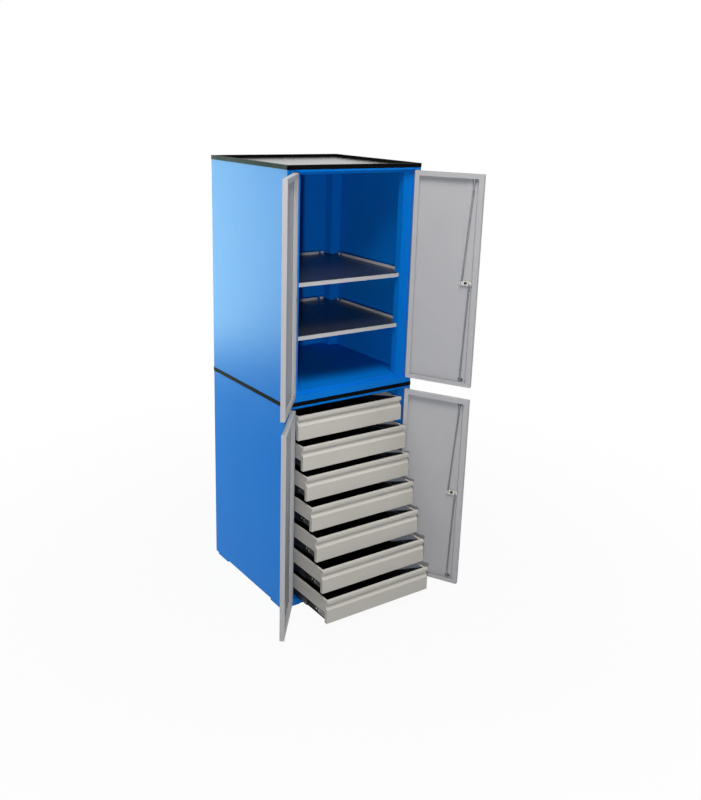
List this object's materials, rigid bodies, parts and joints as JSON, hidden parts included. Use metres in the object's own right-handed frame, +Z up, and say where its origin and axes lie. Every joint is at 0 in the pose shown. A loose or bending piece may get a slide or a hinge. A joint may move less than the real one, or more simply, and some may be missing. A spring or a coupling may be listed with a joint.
{
  "type": "tool cabinet",
  "caption": "Tall steel tool cabinet in stacked modules: shelves behind hinged doors above, full-width telescopic drawers behind hinged doors below, rod locks on the right doors.",
  "frame": {"origin": "on the floor, under the centre of the carcass", "axes": "+X to the right seen from the front, +Y towards the back, +Z up"},
  "size_m": [0.9789, 0.9581, 2],
  "materials": {
    "blue_paint": "semi-gloss blue powder coat",
    "grey_paint": "semi-gloss light grey powder coat",
    "black_edging": "glossy black edging",
    "rubber_mat": "fine ribbed grey mat",
    "zinc_steel": "zinc plated",
    "black_handle": "matt black moulded lever"
  },
  "bodies": {
    "cabinet": {"upper_side_left": "blue_paint", "upper_side_right": "blue_paint", "upper_back": "blue_paint", "upper_top": "blue_paint", "upper_floor": "blue_paint", "upper_edging": "black_edging", "lower_side_left": "blue_paint", "lower_side_right": "blue_paint", "lower_back": "blue_paint", "lower_top": "blue_paint", "lower_floor": "blue_paint", "lower_edging": "black_edging", "feet": "blue_paint", "rear_posts": "blue_paint", "runner_posts": "blue_paint", "top_mat": "rubber_mat", "shelf_upper": "grey_paint", "shelf_lower": "grey_paint", "shelf_clips": "zinc_steel", "hinge_frame_leaves": "zinc_steel", "hinge_pins": "zinc_steel", "fixed_slides": "zinc_steel"},
    "upper_door_left": {"upper_door_left": "grey_paint"},
    "upper_door_right": {"upper_door_right": "grey_paint", "upper_rod_guides": "zinc_steel"},
    "upper_lock": {"upper_lock_handle": "black_handle", "upper_lock_cam": "zinc_steel"},
    "upper_rod_top": {"upper_rod_top": "zinc_steel"},
    "upper_rod_bottom": {"upper_rod_bottom": "zinc_steel"},
    "lower_door_left": {"lower_door_left": "grey_paint"},
    "lower_door_right": {"lower_door_right": "grey_paint", "lower_rod_guides": "zinc_steel"},
    "lower_lock": {"lower_lock_handle": "black_handle", "lower_lock_cam": "zinc_steel"},
    "lower_rod_top": {"lower_rod_top": "zinc_steel"},
    "lower_rod_bottom": {"lower_rod_bottom": "zinc_steel"},
    "drawer_1": {"drawer_1": "grey_paint", "drawer_slide_1": "zinc_steel"},
    "middle_1": {"middle_slide_1": "zinc_steel"},
    "drawer_2": {"drawer_2": "grey_paint", "drawer_slide_2": "zinc_steel"},
    "middle_2": {"middle_slide_2": "zinc_steel"},
    "drawer_3": {"drawer_3": "grey_paint", "drawer_slide_3": "zinc_steel"},
    "middle_3": {"middle_slide_3": "zinc_steel"},
    "drawer_4": {"drawer_4": "grey_paint", "drawer_slide_4": "zinc_steel"},
    "middle_4": {"middle_slide_4": "zinc_steel"},
    "drawer_5": {"drawer_5": "grey_paint", "drawer_slide_5": "zinc_steel"},
    "middle_5": {"middle_slide_5": "zinc_steel"},
    "drawer_6": {"drawer_6": "grey_paint", "drawer_slide_6": "zinc_steel"},
    "middle_6": {"middle_slide_6": "zinc_steel"},
    "drawer_7": {"drawer_7": "grey_paint", "drawer_slide_7": "zinc_steel"},
    "middle_7": {"middle_slide_7": "zinc_steel"}
  },
  "joints": [
    {"name": "upper_door_left_hinge", "type": "hinge", "parent": "cabinet", "child": "upper_door_left", "pos_m": [-0.318, -0.334, 1.501], "axis": [0, 0, -1], "range_deg": [-129.4, 48.6]},
    {"name": "upper_door_right_hinge", "type": "hinge", "parent": "cabinet", "child": "upper_door_right", "pos_m": [0.318, -0.334, 1.501], "axis": [0, 0, 1], "range_deg": [-117.5, 60.5]},
    {"name": "upper_lock_turn", "type": "hinge", "parent": "upper_door_right", "child": "upper_lock", "pos_m": [0.43587, -0.56801, 1.501], "axis": [0.887, 0.4617, 0], "range_deg": [0, 90]},
    {"name": "upper_rod_top_slide", "type": "slide", "parent": "upper_door_right", "child": "upper_rod_top", "axis": [0, 0, 1], "range_m": [0, 0.018]},
    {"name": "upper_rod_bottom_slide", "type": "slide", "parent": "upper_door_right", "child": "upper_rod_bottom", "axis": [0, 0, -1], "range_m": [0, 0.018]},
    {"name": "lower_door_left_hinge", "type": "hinge", "parent": "cabinet", "child": "lower_door_left", "pos_m": [-0.318, -0.334, 0.5085], "axis": [0, 0, -1], "range_deg": [-38.6, 49.4]},
    {"name": "lower_door_right_hinge", "type": "hinge", "parent": "cabinet", "child": "lower_door_right", "pos_m": [0.318, -0.334, 0.5085], "axis": [0, 0, 1], "range_deg": [-27.5, 60.5]},
    {"name": "lower_lock_turn", "type": "hinge", "parent": "lower_door_right", "child": "lower_lock", "pos_m": [0.43587, -0.56801, 0.5085], "axis": [0.887, 0.4617, 0], "range_deg": [0, 90]},
    {"name": "lower_rod_top_slide", "type": "slide", "parent": "lower_door_right", "child": "lower_rod_top", "axis": [0, 0, 1], "range_m": [0, 0.018]},
    {"name": "lower_rod_bottom_slide", "type": "slide", "parent": "lower_door_right", "child": "lower_rod_bottom", "axis": [0, 0, -1], "range_m": [0, 0.018]},
    {"name": "drawer_1_slide", "type": "slide", "parent": "cabinet", "child": "drawer_1", "axis": [0, -1, 0], "range_m": [-0.041, 0.499]},
    {"name": "middle_1_slide", "type": "slide", "parent": "cabinet", "child": "middle_1", "axis": [0, -1, 0], "range_m": [-0.0205, 0.2495]},
    {"name": "drawer_2_slide", "type": "slide", "parent": "cabinet", "child": "drawer_2", "axis": [0, -1, 0], "range_m": [-0.083, 0.457]},
    {"name": "middle_2_slide", "type": "slide", "parent": "cabinet", "child": "middle_2", "axis": [0, -1, 0], "range_m": [-0.0415, 0.2285]},
    {"name": "drawer_3_slide", "type": "slide", "parent": "cabinet", "child": "drawer_3", "axis": [0, -1, 0], "range_m": [-0.117, 0.423]},
    {"name": "middle_3_slide", "type": "slide", "parent": "cabinet", "child": "middle_3", "axis": [0, -1, 0], "range_m": [-0.0585, 0.2115]},
    {"name": "drawer_4_slide", "type": "slide", "parent": "cabinet", "child": "drawer_4", "axis": [0, -1, 0], "range_m": [-0.16, 0.38]},
    {"name": "middle_4_slide", "type": "slide", "parent": "cabinet", "child": "middle_4", "axis": [0, -1, 0], "range_m": [-0.08, 0.19]},
    {"name": "drawer_5_slide", "type": "slide", "parent": "cabinet", "child": "drawer_5", "axis": [0, -1, 0], "range_m": [-0.204, 0.336]},
    {"name": "middle_5_slide", "type": "slide", "parent": "cabinet", "child": "middle_5", "axis": [0, -1, 0], "range_m": [-0.102, 0.168]},
    {"name": "drawer_6_slide", "type": "slide", "parent": "cabinet", "child": "drawer_6", "axis": [0, -1, 0], "range_m": [-0.256, 0.284]},
    {"name": "middle_6_slide", "type": "slide", "parent": "cabinet", "child": "middle_6", "axis": [0, -1, 0], "range_m": [-0.128, 0.142]},
    {"name": "drawer_7_slide", "type": "slide", "parent": "cabinet", "child": "drawer_7", "axis": [0, -1, 0], "range_m": [-0.295, 0.245]},
    {"name": "middle_7_slide", "type": "slide", "parent": "cabinet", "child": "middle_7", "axis": [0, -1, 0], "range_m": [-0.1475, 0.1225]}
  ],
  "couplings": [
    {"joint": "upper_rod_top_slide", "follows": "upper_lock_turn", "m_per_rad": 0.01145},
    {"joint": "upper_rod_bottom_slide", "follows": "upper_lock_turn", "m_per_rad": 0.01145},
    {"joint": "lower_rod_top_slide", "follows": "lower_lock_turn", "m_per_rad": 0.01145},
    {"joint": "lower_rod_bottom_slide", "follows": "lower_lock_turn", "m_per_rad": 0.01145},
    {"joint": "middle_1_slide", "follows": "drawer_1_slide", "ratio": 0.5},
    {"joint": "middle_2_slide", "follows": "drawer_2_slide", "ratio": 0.5},
    {"joint": "middle_3_slide", "follows": "drawer_3_slide", "ratio": 0.5},
    {"joint": "middle_4_slide", "follows": "drawer_4_slide", "ratio": 0.5},
    {"joint": "middle_5_slide", "follows": "drawer_5_slide", "ratio": 0.5},
    {"joint": "middle_6_slide", "follows": "drawer_6_slide", "ratio": 0.5},
    {"joint": "middle_7_slide", "follows": "drawer_7_slide", "ratio": 0.5}
  ]
}
